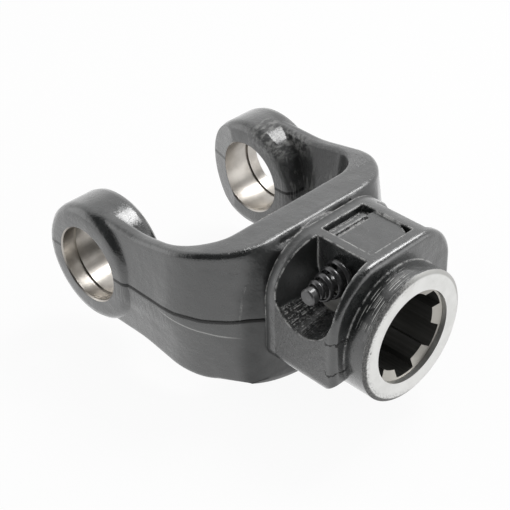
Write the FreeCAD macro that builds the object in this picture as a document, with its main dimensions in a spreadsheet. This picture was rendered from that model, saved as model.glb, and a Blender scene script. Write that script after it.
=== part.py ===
import FreeCAD, Part
import math
import os
import re
import Sketcher

# Forged driveline yoke with a splined hub and a spring-loaded locking pin.
# The origin is the joint centre: the trunnion axis is Y, the spline axis is X,
# and the splined nose points to +X. The dies part on the plane Z = 0.

V = FreeCAD.Vector
doc = FreeCAD.newDocument("ForgedYoke")

# Driving sizes in millimetres and degrees
SIZES = [
    ("trunnion_bore", 30.2, "diameter of the bores in both ears"),
    ("bore_chamfer", 0.5, "chamfer at every mouth of the trunnion bores"),
    ("ring_groove_place", 45.8, "middle of each snap-ring groove, from the joint centre"),
    ("ring_groove_width", 1.6, "width of each snap-ring groove"),
    ("ring_groove_depth", 0.8, "depth of each snap-ring groove below the bore"),
    ("ears_outside", 103.4, "across the outer faces of the ears"),
    ("ears_inside", 64.0, "between the inner faces of the ears"),
    ("boss_radius", 24.0, "radius of each ear boss"),
    ("boss_round", 4.0, "rounding of both rims of each boss, as three flats"),
    ("relief_start", 8.7, "where the relief of each ear's tip starts, behind the trunnion axis"),
    ("relief_angle", 15.0, "slant of that relief"),
    ("arm_end", 5.0, "how far the arms run past the trunnion axis inside the bosses"),
    ("arm_sink", 0.8, "how far the arms' ends lie below the rims of the bosses"),
    ("arm_step", 1.1, "from the outer face of each ear in to its arm, on the parting plane"),
    ("boss_step", 8.3, "from the inner face of each ear out to its arm, on the parting plane"),
    ("web_outer", 71.7, "outer face of the web on the parting plane"),
    ("web_wall", 20.3, "thickness of the web on the parting plane"),
    ("fork_outer_corner", 29.7, "plan radius of the fork's outer corner on the push side"),
    ("fork_far_corner", 25.5, "plan radius of the other outer corner"),
    ("fork_inner_corner", 14.0, "plan radius of the inner corners of the fork"),
    ("draft", 6.0, "forging draft of the fork walls"),
    ("web_height", 28.8, "half height at the outer face of the web"),
    ("waist_place", 27.0, "where the arms are lowest, from the joint centre"),
    ("waist_drop", 6.2, "how much lower than the web the arms are at the waist"),
    ("shoulder_back", 17.7, "from the web's outer face back to the shoulder"),
    ("shoulder_drop", 1.0, "how much lower than the web the shoulder is"),
    ("waist_round", 45.0, "radius that blends the waist"),
    ("shoulder_round", 30.0, "radius that blends the shoulder"),
    ("fork_edge_round", 2.2, "rounding of the long edges of the fork"),
    ("belly_radius", 70.0, "radius of the belly under the web"),
    ("belly_depth", 37.0, "deepest point of the belly below the parting plane"),
    ("belly_back", 6.0, "from the web's outer face back to the deepest section"),
    ("belly_rise", 4.2, "how much the belly rises towards the neck"),
    ("flare_radius", 37.0, "radius where the neck flares into the web"),
    ("flare_seat", 3.7, "where the flare starts, behind the web's outer face"),
    ("flare_middle_radius", 30.4, "radius where the flare bends"),
    ("flare_middle", 1.2, "where it bends, ahead of the web's outer face"),
    ("flare_end", 7.0, "where it reaches the neck, ahead of the web's outer face"),
    ("neck_radius", 27.6, "radius of the neck between web and collar"),
    ("neck_seat", 4.0, "how far the neck runs into the collar before it tapers"),
    ("hub_radius", 25.4, "radius of the hub and its nose"),
    ("nose_length", 9.1, "from the collar's front face to the end of the nose"),
    ("nose_chamfer", 1.55, "chamfer of the nose's outer edge, across the face"),
    ("nose_chamfer_length", 0.93, "the same chamfer along the nose"),
    ("collar_gap", 1.9, "from the web's outer face to the rear face of the collar"),
    ("collar_length", 32.9, "length of the collar along the spline axis"),
    ("collar_width", 60.6, "width of the collar across its cheeks"),
    ("collar_top", 31.0, "height of the collar's top panel"),
    ("collar_bottom", 16.0, "depth of the cheeks below the axis"),
    ("shoulder_left", 21.3, "shoulder radius on the push side"),
    ("shoulder_right", 15.8, "shoulder radius on the far side"),
    ("cheek_round", 6.0, "rounding of the lower edges of the cheeks"),
    ("cheek_rise", 6.2, "how far the cheeks' lower front corners are cut up"),
    ("cheek_run", 7.8, "how far back that cut reaches"),
    ("collar_edge_round", 2.4, "rounding of the collar's front outline"),
    ("spline_minor", 14.8, "radius at the crests between the grooves"),
    ("spline_major", 17.5, "radius at the bottom of the spline grooves"),
    ("spline_groove", 8.7, "width of each spline groove"),
    ("spline_count", 6, "number of spline grooves"),
    ("spline_turn", -2.0, "clocking of the spline about its axis"),
    ("mouth_radius", 18.1, "radius of the counterbore in the nose"),
    ("mouth_depth", 2.1, "depth of the counterbore in the nose"),
    ("lead_depth", 3.8, "depth at which the lead-in cone reaches the crests"),
    ("pin_setback", 14.2, "from the collar's front face back to the pin axis"),
    ("pin_height", 20.3, "pin axis above the spline axis"),
    ("pin_diameter", 11.5, "diameter of the pin's locking body"),
    ("shank_diameter", 6.3, "diameter of the pin's shank and push tip"),
    ("pin_clearance", 0.05, "radial running clearance of the pin in its bore"),
    ("pin_step", 1.0, "step of the bore that stops the pin, left of the axis"),
    ("pin_end", 21.5, "plain end of the pin, right of the axis"),
    ("pin_tip", 28.6, "push tip of the pin, left of the axis"),
    ("pin_chamfer", 0.5, "chamfer at both ends of the pin"),
    ("stop_gap", 0.05, "gap between the pin's shoulder and the bore's step at rest"),
    ("tip_length", 2.7, "length of the push tip ahead of the spring's seat"),
    ("clip_depth", 0.45, "depth of the neck that holds the spring's small end"),
    ("push_wall", 10.0, "wall that the spring bears on, left of the axis"),
    ("far_wall", 20.0, "inner wall of the far pocket, right of the axis"),
    ("pocket_offset", 1.2, "from the pin axis back to the middle of both pockets"),
    ("pocket_radius", 11.4, "radius of the pocket floor at its inner wall"),
    ("pocket_mouth", 33.0, "where the pocket's outer section lies, from the axis"),
    ("pocket_mouth_radius", 13.8, "radius of the pocket floor at that section"),
    ("pocket_mouth_height", 17.7, "centre height of that radius"),
    ("wire_diameter", 1.2, "diameter of the spring wire"),
    ("spring_large", 13.2, "mean diameter of the spring's large end"),
    ("spring_turns", 3.75, "turns of the spring"),
    ("turn_chords", 16, "straight runs in each turn of the spring"),
    ("spring_gap", 0.1, "gap between the spring and what it bears on"),
    ("recess_margin", 4.4, "from the collar's rear face to the panel's recess"),
    ("recess_length", 23.0, "length of the recess along the spline axis"),
    ("recess_left", 6.2, "left edge of the recess, left of the axis"),
    ("recess_right", 15.0, "right edge of the recess, right of the axis"),
    ("recess_depth", 0.9, "depth of the panel's recess"),
    ("slot_width", 2.9, "width of the deep slot along the recess's rear edge"),
    ("slot_depth", 3.2, "depth of that slot below the panel"),
    ("rib_width", 2.2, "width of the rib ahead of the slot"),
    ("rib_end", 3.4, "how far the rib stops short of the recess's right edge"),
    ("channel_width", 1.6, "width of the shallow channel ahead of the rib"),
    ("channel_end", 0.9, "how far the channel stops short of the rib's end"),
    ("channel_depth", 2.0, "depth of that channel below the panel"),
    ("notch_leg", 6.0, "legs of the three-cornered notch in the recess"),
    ("notch_depth", 3.6, "depth of that notch below the panel"),
    ("cut_margin", 1.0, "how far a cut reaches past the face that it opens"),
]

# Places that follow from the sizes
PLACES = {
    "fork_outside": "(ears_outside - 2 * arm_step)",
    "fork_inside": "(ears_inside + 2 * boss_step)",
    "web_inner": "(web_outer - web_wall)",
    "waist_height": "(web_height - waist_drop)",
    "shoulder_place": "(web_outer - shoulder_back)",
    "shoulder_height": "(web_height - shoulder_drop)",
    "collar_back": "(web_outer + collar_gap)",
    "collar_front": "(collar_back + collar_length)",
    "nose_face": "(collar_front + nose_length)",
    "pin_place": "(collar_front - pin_setback)",
    "pocket_place": "(pin_place - pocket_offset)",
    "recess_back": "(collar_back + recess_margin)",
    "recess_front": "(recess_back + recess_length)",
    "coil_clear": "((shank_diameter / 2 + spring_gap + wire_diameter / 2) / cos(180 / turn_chords))",
    "coil_radius": "(coil_clear - clip_depth / cos(180 / turn_chords))",
    "coil_start": "(pin_tip - tip_length - spring_gap - wire_diameter / 2)",
    "coil_end": "(push_wall + spring_gap + wire_diameter / 2)",
    "clip_share": "((coil_clear - coil_radius) / (spring_large / 2 - coil_radius))",
    "clip_end": "(coil_start - clip_share * (coil_start - coil_end) - wire_diameter / 2 - spring_gap)",
}

sheet = doc.addObject("Spreadsheet::Sheet", "Sizes")
for row, (alias, value, note) in enumerate(SIZES, start=1):
    sheet.set("A%d" % row, alias)
    sheet.set("B%d" % row, str(value))
    sheet.set("C%d" % row, note)
    sheet.setAlias("B%d" % row, alias)
scratch = doc.addObject("Spreadsheet::Sheet", "Scratch")
doc.recompute()

ALIASES = {alias for alias, value, note in SIZES}


def cells(expression):
    """The expression in cells of the sheet, with its places written out."""
    words = re.compile(r"[a-z]\w*")
    while set(words.findall(expression)) & set(PLACES):
        expression = words.sub(lambda m: PLACES.get(m.group(), m.group()), expression)
    return words.sub(lambda m: "Sizes." + m.group() if m.group() in ALIASES else m.group(), expression)


def value_of(expression):
    """The present value of an expression of sizes."""
    scratch.set("A1", "=" + cells(expression))
    scratch.recompute()
    return float(scratch.get("A1"))


def origin_part(body, role):
    """One plane or axis of the body's own origin."""
    return next(f for f in body.Origin.OriginFeatures if f.Role == role)


def new_body(name, label):
    body = doc.addObject("PartDesign::Body", name)
    body.Label = label
    body.AllowCompound = True
    return body


def new_sketch(body, name, role, offset=None):
    """A sketch on an origin plane, moved along that plane's normal."""
    sketch = body.newObject("Sketcher::SketchObject", name)
    sketch.AttachmentSupport = [(origin_part(body, role), "")]
    sketch.MapMode = "FlatFace"
    if offset:
        sketch.setExpression("AttachmentOffset.Base.z", cells(offset))
    return sketch


def dimension(sketch, constraint, expression):
    """Add a dimension and tie it to an expression of sizes."""
    index = sketch.addConstraint(constraint)
    sketch.setExpression("Constraints[%d]" % index, cells(expression))


def place_point(sketch, edge, point, across, up):
    """Tie a point to two expressions, or to an axis where one of them is 0."""
    for kind, expression, axis in (("DistanceX", across, -2), ("DistanceY", up, -1)):
        if expression == "0":
            sketch.addConstraint(Sketcher.Constraint("PointOnObject", edge, point, axis))
        else:
            now = value_of(expression)
            dimension(sketch, Sketcher.Constraint(kind, -1, 1, edge, point, now), expression)


def polygon(sketch, corners):
    """A closed polygon of (across, up) or (across, up, rounding) expressions."""
    points = [V(value_of(corner[0]), value_of(corner[1]), 0) for corner in corners]
    first = sketch.GeometryCount
    count = len(points)
    for i, point in enumerate(points):
        sketch.addGeometry(Part.LineSegment(point, points[(i + 1) % count]), False)
    for i in range(count):
        following = first + (i + 1) % count
        sketch.addConstraint(Sketcher.Constraint("Coincident", first + i, 2, following, 1))
    for i, corner in enumerate(corners):
        place_point(sketch, first + i, 1, corner[0], corner[1])
    for i, corner in enumerate(corners):
        if len(corner) == 3:
            before = first + (i - 1) % count
            round_corner(sketch, before, first + i, points[i], corner[2])


def round_corner(sketch, before, after, corner, radius):
    """Round the corner between two lines and keep its corner point."""
    reach = value_of(radius)
    near = (corner + sketch.Geometry[before].StartPoint) / 2
    far = (corner + sketch.Geometry[after].EndPoint) / 2
    arc = sketch.GeometryCount
    sketch.fillet(before, after, near, far, reach, True, True)
    dimension(sketch, Sketcher.Constraint("Radius", arc, reach), radius)


def circle(sketch, across, up, radius):
    """A circle whose centre and radius are expressions."""
    edge = sketch.GeometryCount
    centre = V(value_of(across), value_of(up), 0)
    sketch.addGeometry(Part.Circle(centre, V(0, 0, 1), value_of(radius)), False)
    place_point(sketch, edge, 3, across, up)
    dimension(sketch, Sketcher.Constraint("Radius", edge, value_of(radius)), radius)


def trough(sketch, across, up, radius, rim):
    """A U that is open upwards: a half round floor and straight walls to the rim."""
    centre = V(value_of(across), value_of(up), 0)
    reach = value_of(radius)
    top = value_of(rim)
    left = centre - V(reach, 0, 0)
    right = centre + V(reach, 0, 0)
    floor = Part.ArcOfCircle(Part.Circle(centre, V(0, 0, 1), reach), math.pi, 2 * math.pi)
    sketch.addGeometry(floor, False)
    sketch.addGeometry(Part.LineSegment(right, V(right.x, top, 0)), False)
    sketch.addGeometry(Part.LineSegment(V(right.x, top, 0), V(left.x, top, 0)), False)
    sketch.addGeometry(Part.LineSegment(V(left.x, top, 0), left), False)
    sketch.addConstraint(Sketcher.Constraint("Tangent", 0, 2, 1, 1))
    sketch.addConstraint(Sketcher.Constraint("Coincident", 1, 2, 2, 1))
    sketch.addConstraint(Sketcher.Constraint("Coincident", 2, 2, 3, 1))
    sketch.addConstraint(Sketcher.Constraint("Tangent", 3, 2, 0, 1))
    sketch.addConstraint(Sketcher.Constraint("Vertical", 1))
    sketch.addConstraint(Sketcher.Constraint("Horizontal", 2))
    place_point(sketch, 0, 3, across, up)
    dimension(sketch, Sketcher.Constraint("Radius", 0, reach), radius)
    dimension(sketch, Sketcher.Constraint("DistanceY", -1, 1, 2, 1, top), rim)


def segment(sketch, up, radius, chord):
    """The part of a circle below a level chord; the centre is above the chord."""
    centre = V(0, value_of(up), 0)
    reach = value_of(radius)
    level = value_of(chord)
    lean = math.asin((centre.y - level) / reach)
    spread = reach * math.cos(lean)
    disc = Part.Circle(centre, V(0, 0, 1), reach)
    sketch.addGeometry(Part.ArcOfCircle(disc, math.pi + lean, 2 * math.pi - lean), False)
    sketch.addGeometry(Part.LineSegment(V(spread, level, 0), V(-spread, level, 0)), False)
    sketch.addConstraint(Sketcher.Constraint("Coincident", 0, 2, 1, 1))
    sketch.addConstraint(Sketcher.Constraint("Coincident", 1, 2, 0, 1))
    sketch.addConstraint(Sketcher.Constraint("Horizontal", 1))
    place_point(sketch, 0, 3, "0", up)
    dimension(sketch, Sketcher.Constraint("Radius", 0, reach), radius)
    dimension(sketch, Sketcher.Constraint("DistanceY", -1, 1, 1, 1, level), chord)


def sound(feature):
    """The feature itself, once it is known to have built."""
    if "Invalid" in feature.State or "Error" in feature.State or not feature.Shape.isValid():
        raise RuntimeError(feature.Name + ": " + feature.getStatusString())
    return feature


def pad(body, name, sketch, length, back=None):
    """A pad along the sketch's normal, with a second length behind it."""
    feature = body.newObject("PartDesign::Pad", name)
    feature.Profile = sketch
    feature.setExpression("Length", cells(length))
    if back:
        feature.SideType = "Two sides"
        feature.setExpression("Length2", cells(back))
    doc.recompute()
    return feature


def pocket(body, name, sketch, length, back=None):
    """A pocket behind the sketch, and ahead of it where a second length is given."""
    feature = body.newObject("PartDesign::Pocket", name)
    feature.Profile = sketch
    feature.setExpression("Length", cells(length))
    if back:
        feature.SideType = "Two sides"
        feature.setExpression("Length2", cells(back))
    return checked_cut(feature)


def turned(body, name, sketch, role):
    """Material turned about an axis of the body's origin."""
    feature = body.newObject("PartDesign::Revolution", name)
    feature.Profile = sketch
    feature.ReferenceAxis = (origin_part(body, role), [""])
    feature.Angle = 360.0
    doc.recompute()
    return feature


def grooved(body, name, sketch, role):
    """A cut turned about an axis of the body's origin."""
    feature = body.newObject("PartDesign::Groove", name)
    feature.Profile = sketch
    feature.ReferenceAxis = (origin_part(body, role), [""])
    feature.Angle = 360.0
    return checked_cut(feature)


def scooped(body, name, inner, outer):
    """A cut lofted between two sketches."""
    feature = body.newObject("PartDesign::SubtractiveLoft", name)
    feature.Profile = inner
    feature.Sections = [outer]
    feature.Ruled = True
    return checked_cut(feature)


def checked_cut(feature):
    """Recompute a cut and make sure that it takes material away."""
    doc.recompute()
    if sound(feature).Shape.Volume >= feature.BaseFeature.Shape.Volume - 0.01:
        raise RuntimeError(feature.Name + " cuts nothing")
    return feature


def mirrored(body, name, feature, role):
    """The feature again on the other side of an origin plane."""
    copy = body.newObject("PartDesign::Mirrored", name)
    copy.Originals = [feature]
    copy.MirrorPlane = (origin_part(body, role), [""])
    body.Tip = copy
    doc.recompute()
    return copy


def bend_at(shape, edge):
    """Angle in degrees between the two faces that meet at an edge."""
    faces = shape.ancestorsOfType(edge, Part.Face)
    if len(faces) != 2:
        return 0.0
    point = edge_middle(edge)
    normals = [face.normalAt(*face.Surface.parameter(point)) for face in faces]
    return math.degrees(normals[0].getAngle(normals[1]))


def edge_middle(edge):
    first, last = edge.ParameterRange
    return edge.valueAt((first + last) / 2)


def rounded(body, name, wanted, radius):
    """A fillet on the edges of the body's last feature that pass a test."""
    base = body.Tip
    edges = enumerate(base.Shape.Edges, start=1)
    names = ["Edge%d" % i for i, edge in edges if wanted(edge) and bend_at(base.Shape, edge) > 20]
    if not names:
        raise RuntimeError(name + " finds no edge")
    fillet = body.newObject("PartDesign::Fillet", name)
    fillet.Base = (base, names)
    fillet.Refine = False
    fillet.setExpression("Radius", cells(radius))
    doc.recompute()
    return sound(fillet)


# Fork: the upper half is a drafted U cut to its height from the side, then mirrored
yoke = new_body("Yoke", "yoke_forging")

fork_plan = new_sketch(yoke, "ForkPlan", "XY_Plane")
polygon(fork_plan, [
    ("-arm_end", "-fork_outside / 2"),
    ("web_outer", "-fork_outside / 2", "fork_outer_corner"),
    ("web_outer", "fork_outside / 2", "fork_far_corner"),
    ("-arm_end", "fork_outside / 2"),
    ("-arm_end", "fork_inside / 2"),
    ("web_inner", "fork_inside / 2", "fork_inner_corner"),
    ("web_inner", "-fork_inside / 2", "fork_inner_corner"),
    ("-arm_end", "-fork_inside / 2"),
])
fork = pad(yoke, "Fork", fork_plan, "web_height + cut_margin")
walls = enumerate(fork.Shape.Faces, start=1)
upright = ["Face%d" % i for i, face in walls if face.BoundBox.ZLength > 1 and face.BoundBox.XMax > 0]
fork_draft = yoke.newObject("PartDesign::Draft", "ForkDraft")
fork_draft.Base = (fork, upright)
fork_draft.NeutralPlane = (origin_part(yoke, "XY_Plane"), [""])
fork_draft.setExpression("Angle", cells("draft"))
doc.recompute()
sound(fork_draft)

fork_side = new_sketch(yoke, "ForkSide", "XZ_Plane")
polygon(fork_side, [
    ("-arm_end - cut_margin", "boss_radius - arm_sink"),
    ("waist_place", "waist_height", "waist_round"),
    ("shoulder_place", "shoulder_height", "shoulder_round"),
    ("web_outer + cut_margin", "web_height"),
    ("web_outer + cut_margin", "web_height + 2 * cut_margin"),
    ("-arm_end - cut_margin", "web_height + 2 * cut_margin"),
])
pocket(yoke, "ForkTop", fork_side, "ears_outside / 2", back="ears_outside / 2")


def on_fork_rim(edge):
    return edge_middle(edge).z > value_of("waist_height - cut_margin")


rounded(yoke, "ForkEdges", on_fork_rim, "fork_edge_round")

fork_below = yoke.newObject("PartDesign::Mirrored", "ForkBelow")
fork_below.TransformMode = "Whole shape"
fork_below.MirrorPlane = (origin_part(yoke, "XY_Plane"), [""])
yoke.Tip = fork_below
doc.recompute()

# Ears: turned bosses about the trunnion axis
boss_profile = new_sketch(yoke, "BossProfile", "XY_Plane")
inner_rim = []
outer_rim = []
for angle in (0, 30, 60, 90):
    across = 1 - math.sin(math.radians(angle))
    along = 1 - math.cos(math.radians(angle))
    radius = "boss_radius - boss_round * %.4f" % across
    inner_rim.append((radius, "ears_inside / 2 + boss_round * %.4f" % along))
    outer_rim.insert(0, (radius, "ears_outside / 2 - boss_round * %.4f" % along))
polygon(boss_profile, [("0", "ears_inside / 2")] + inner_rim + outer_rim + [("0", "ears_outside / 2")])
boss = turned(yoke, "Boss", boss_profile, "Y_Axis")
mirrored(yoke, "OtherBoss", boss, "XZ_Plane")

# Relief that thins the tip of each ear on its inner side
relief_plan = new_sketch(yoke, "ReliefPlan", "XY_Plane")
polygon(relief_plan, [
    ("-relief_start", "ears_inside / 2"),
    ("-relief_start - boss_radius", "ears_inside / 2 + boss_radius * tan(relief_angle)"),
    ("-relief_start - boss_radius", "ears_inside / 2 - cut_margin"),
    ("-relief_start", "ears_inside / 2 - cut_margin"),
])
relief = pocket(yoke, "Relief", relief_plan, "boss_radius + cut_margin", back="boss_radius + cut_margin")
mirrored(yoke, "OtherRelief", relief, "XZ_Plane")

# Belly: the web is deeper below, on a large radius that rises towards the neck
BELLY = [
    ("web_inner", "web_height - cut_margin"),
    ("web_outer - belly_back", "belly_depth"),
    ("web_outer - cut_margin", "belly_depth - cut_margin"),
    ("web_outer + cut_margin", "belly_depth - belly_rise"),
]
belly_sections = []
for i, (place, depth) in enumerate(BELLY, start=1):
    section = new_sketch(yoke, "BellySection%d" % i, "YZ_Plane", offset=place)
    segment(section, "belly_radius - (%s)" % depth, "belly_radius", "-web_height + fork_edge_round")
    belly_sections.append(section)
belly = yoke.newObject("PartDesign::AdditiveLoft", "Belly")
belly.Profile = belly_sections[0]
belly.Sections = belly_sections[1:]
belly.Ruled = True
doc.recompute()
sound(belly)

# Flare from the web to the neck, turned in a body of its own and cut below the web's rim
flare_body = new_body("NeckFlare", "neck_flare")
flare_profile = new_sketch(flare_body, "FlareProfile", "XY_Plane")
polygon(flare_profile, [
    ("web_inner + neck_seat", "0"),
    ("web_inner + neck_seat", "web_height"),
    ("web_outer - flare_seat", "flare_radius"),
    ("web_outer + flare_middle", "flare_middle_radius"),
    ("web_outer + flare_end", "neck_radius"),
    ("web_outer + flare_end", "0"),
])
turned(flare_body, "Flare", flare_profile, "X_Axis")
flare_top = new_sketch(flare_body, "FlareTop", "XY_Plane", offset="web_height - fork_edge_round")
polygon(flare_top, [
    ("web_inner", "-flare_radius - cut_margin"),
    ("web_outer + flare_end + cut_margin", "-flare_radius - cut_margin"),
    ("web_outer + flare_end + cut_margin", "flare_radius + cut_margin"),
    ("web_inner", "flare_radius + cut_margin"),
])
pocket(flare_body, "FlareCut", flare_top, "cut_margin", back="flare_radius")
joined = yoke.newObject("PartDesign::Boolean", "FlareJoined")
joined.Type = "Fuse"
joined.Group = [flare_body]
yoke.Tip = joined
doc.recompute()
sound(joined)

# Collar: the housing of the pin, with unequal shoulders
collar_section = new_sketch(yoke, "CollarSection", "YZ_Plane", offset="collar_back")
polygon(collar_section, [
    ("-collar_width / 2", "-collar_bottom", "cheek_round"),
    ("collar_width / 2", "-collar_bottom", "cheek_round"),
    ("collar_width / 2", "collar_top", "shoulder_right"),
    ("-collar_width / 2", "collar_top", "shoulder_left"),
])
pad(yoke, "Collar", collar_section, "collar_front - collar_back")


def on_collar_front(edge):
    return abs(edge_middle(edge).x - value_of("collar_front")) < 0.01


rounded(yoke, "CollarEdges", on_collar_front, "collar_edge_round")

cheek_cut = new_sketch(yoke, "CheekCut", "XZ_Plane")
polygon(cheek_cut, [
    ("collar_front - cheek_run", "-collar_bottom"),
    ("collar_front + cheek_run", "-collar_bottom + 2 * cheek_rise"),
    ("collar_front + cheek_run", "-collar_bottom - cut_margin"),
    ("collar_front - cheek_run", "-collar_bottom - cut_margin"),
])
pocket(yoke, "CheekCorners", cheek_cut, "collar_width", back="collar_width")

# Hub: neck, hub and nose turned about the spline axis
hub_profile = new_sketch(yoke, "HubProfile", "XY_Plane")
polygon(hub_profile, [
    ("web_inner + neck_seat", "0"),
    ("web_inner + neck_seat", "neck_radius"),
    ("collar_back + neck_seat", "neck_radius"),
    ("collar_back + 2 * neck_seat", "hub_radius"),
    ("nose_face - nose_chamfer_length", "hub_radius"),
    ("nose_face", "hub_radius - nose_chamfer"),
    ("nose_face", "0"),
])
turned(yoke, "Hub", hub_profile, "X_Axis")

# Pockets beside the pin, open upwards and outwards
for side, wall, mouth in (("Push", "push_wall", "pocket_mouth"), ("Far", "-far_wall", "-pocket_mouth")):
    inner = new_sketch(yoke, side + "PocketWall", "XZ_Plane", offset=wall)
    trough(inner, "pocket_place", "pin_height", "pocket_radius", "collar_top + cut_margin")
    outer = new_sketch(yoke, side + "PocketMouth", "XZ_Plane", offset=mouth)
    trough(outer, "pocket_place", "pocket_mouth_height", "pocket_mouth_radius", "collar_top + cut_margin")
    scooped(yoke, side + "Pocket", inner, outer)

# Top panel: a shallow recess with a slot, a rib, a channel and a notch
recess = new_sketch(yoke, "PanelRecess", "XY_Plane", offset="collar_top")
polygon(recess, [
    ("recess_back", "-recess_left"),
    ("recess_front", "-recess_left"),
    ("recess_front", "recess_right"),
    ("recess_back", "recess_right"),
])
pocket(yoke, "Recess", recess, "recess_depth", back="cut_margin")

slot = new_sketch(yoke, "PanelSlot", "XY_Plane", offset="collar_top")
polygon(slot, [
    ("recess_back", "-recess_left"),
    ("recess_back + slot_width", "-recess_left"),
    ("recess_back + slot_width", "recess_right - rib_end"),
    ("recess_back + slot_width + rib_width", "recess_right - rib_end"),
    ("recess_back + slot_width + rib_width", "recess_right"),
    ("recess_back", "recess_right"),
])
pocket(yoke, "Slot", slot, "slot_depth", back="cut_margin")

channel = new_sketch(yoke, "PanelChannel", "XY_Plane", offset="collar_top")
polygon(channel, [
    ("recess_back + slot_width + rib_width", "-recess_left"),
    ("recess_back + slot_width + rib_width + channel_width", "-recess_left"),
    ("recess_back + slot_width + rib_width + channel_width", "recess_right - rib_end - channel_end"),
    ("recess_back + slot_width + rib_width", "recess_right - rib_end - channel_end"),
])
pocket(yoke, "Channel", channel, "channel_depth", back="cut_margin")

notch = new_sketch(yoke, "PanelNotch", "XY_Plane", offset="collar_top")
polygon(notch, [
    ("recess_front - notch_leg", "recess_right"),
    ("recess_front", "recess_right - notch_leg / 2"),
    ("recess_front", "recess_right"),
])
pocket(yoke, "Notch", notch, "notch_depth", back="cut_margin")

# Spline: a bore to the crests, grooves round it, a counterbore and a lead-in cone
spline_bore = new_sketch(yoke, "SplineBore", "YZ_Plane", offset="nose_face")
circle(spline_bore, "0", "0", "spline_minor")
pocket(yoke, "Bore", spline_bore, "nose_face - web_inner + cut_margin", back="cut_margin")

groove = new_sketch(yoke, "SplineGroove", "YZ_Plane", offset="nose_face")
groove.setExpression("AttachmentOffset.Rotation.Angle", cells("spline_turn + 180 / spline_count"))
half = value_of("spline_groove / 2")
major = value_of("spline_major")
lift = math.asin(half / major)
bottom = Part.ArcOfCircle(Part.Circle(V(0, 0, 0), V(0, 0, 1), major), -lift, lift)
inside = value_of("spline_minor - 2 * cut_margin")
outside = major * math.cos(lift)
groove.addGeometry(bottom, False)
groove.addGeometry(Part.LineSegment(V(outside, half, 0), V(inside, half, 0)), False)
groove.addGeometry(Part.LineSegment(V(inside, half, 0), V(inside, -half, 0)), False)
groove.addGeometry(Part.LineSegment(V(inside, -half, 0), V(outside, -half, 0)), False)
for i in range(4):
    groove.addConstraint(Sketcher.Constraint("Coincident", i, 2, (i + 1) % 4, 1))
groove.addConstraint(Sketcher.Constraint("Coincident", 0, 3, -1, 1))
groove.addConstraint(Sketcher.Constraint("Horizontal", 1))
groove.addConstraint(Sketcher.Constraint("Horizontal", 3))
groove.addConstraint(Sketcher.Constraint("Symmetric", 2, 1, 2, 2, -1))
dimension(groove, Sketcher.Constraint("Radius", 0, major), "spline_major")
dimension(groove, Sketcher.Constraint("DistanceY", 2, 2, 2, 1, 2 * half), "spline_groove")
dimension(groove, Sketcher.Constraint("DistanceX", -1, 1, 2, 1, inside), "spline_minor - 2 * cut_margin")
first_groove = pocket(yoke, "Groove", groove, "nose_face - web_inner + cut_margin", back="cut_margin")

grooves = yoke.newObject("PartDesign::PolarPattern", "Spline")
grooves.Originals = [first_groove]
grooves.Axis = (origin_part(yoke, "X_Axis"), [""])
grooves.Angle = 360.0
grooves.setExpression("Occurrences", cells("spline_count"))
yoke.Tip = grooves
doc.recompute()

mouth = new_sketch(yoke, "NoseMouth", "XY_Plane")
polygon(mouth, [
    ("nose_face + cut_margin", "0"),
    ("nose_face + cut_margin", "mouth_radius"),
    ("nose_face - mouth_depth", "mouth_radius"),
    ("nose_face - lead_depth", "spline_minor"),
    ("nose_face - lead_depth", "0"),
])
grooved(yoke, "Mouth", mouth, "X_Axis")

# Trunnion bores with chamfered mouths and snap-ring grooves
trunnion = new_sketch(yoke, "TrunnionProfile", "XY_Plane")
polygon(trunnion, [
    ("0", "ears_inside / 2 - cut_margin"),
    ("trunnion_bore / 2 + bore_chamfer + cut_margin", "ears_inside / 2 - cut_margin"),
    ("trunnion_bore / 2", "ears_inside / 2 + bore_chamfer"),
    ("trunnion_bore / 2", "ring_groove_place - ring_groove_width / 2"),
    ("trunnion_bore / 2 + ring_groove_depth", "ring_groove_place - ring_groove_width / 2"),
    ("trunnion_bore / 2 + ring_groove_depth", "ring_groove_place + ring_groove_width / 2"),
    ("trunnion_bore / 2", "ring_groove_place + ring_groove_width / 2"),
    ("trunnion_bore / 2", "ears_outside / 2 - bore_chamfer"),
    ("trunnion_bore / 2 + bore_chamfer + cut_margin", "ears_outside / 2 + cut_margin"),
    ("0", "ears_outside / 2 + cut_margin"),
])
trunnion_cut = grooved(yoke, "TrunnionBore", trunnion, "Y_Axis")
mirrored(yoke, "OtherTrunnionBore", trunnion_cut, "XZ_Plane")

# Pin bore: a narrow hole through the push wall and a wide one from the far side
narrow = new_sketch(yoke, "ShankHole", "XZ_Plane")
circle(narrow, "pin_place", "pin_height", "shank_diameter / 2 + pin_clearance")
pocket(yoke, "ShankBore", narrow, "pin_step", back="push_wall + cut_margin")
wide = new_sketch(yoke, "PinHole", "XZ_Plane", offset="pin_step")
circle(wide, "pin_place", "pin_height", "pin_diameter / 2 + pin_clearance")
pocket(yoke, "PinBore", wide, "far_wall + pin_step + cut_margin")

# Lock pin: a stepped pin whose shank carries the spring
pin = new_body("Pin", "lock_pin")
pin.setExpression("Placement.Base.x", cells("pin_place"))
pin.setExpression("Placement.Base.z", cells("pin_height"))
pin_profile = new_sketch(pin, "PinProfile", "XY_Plane")
polygon(pin_profile, [
    ("0", "-pin_tip"),
    ("shank_diameter / 2 - pin_chamfer", "-pin_tip"),
    ("shank_diameter / 2", "-pin_tip + pin_chamfer"),
    ("shank_diameter / 2", "-pin_tip + tip_length"),
    ("shank_diameter / 2 - clip_depth", "-pin_tip + tip_length"),
    ("shank_diameter / 2 - clip_depth", "-clip_end"),
    ("shank_diameter / 2", "-clip_end"),
    ("shank_diameter / 2", "-pin_step + stop_gap"),
    ("pin_diameter / 2", "-pin_step + stop_gap"),
    ("pin_diameter / 2", "pin_end - pin_chamfer"),
    ("pin_diameter / 2 - pin_chamfer", "pin_end"),
    ("0", "pin_end"),
])
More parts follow.
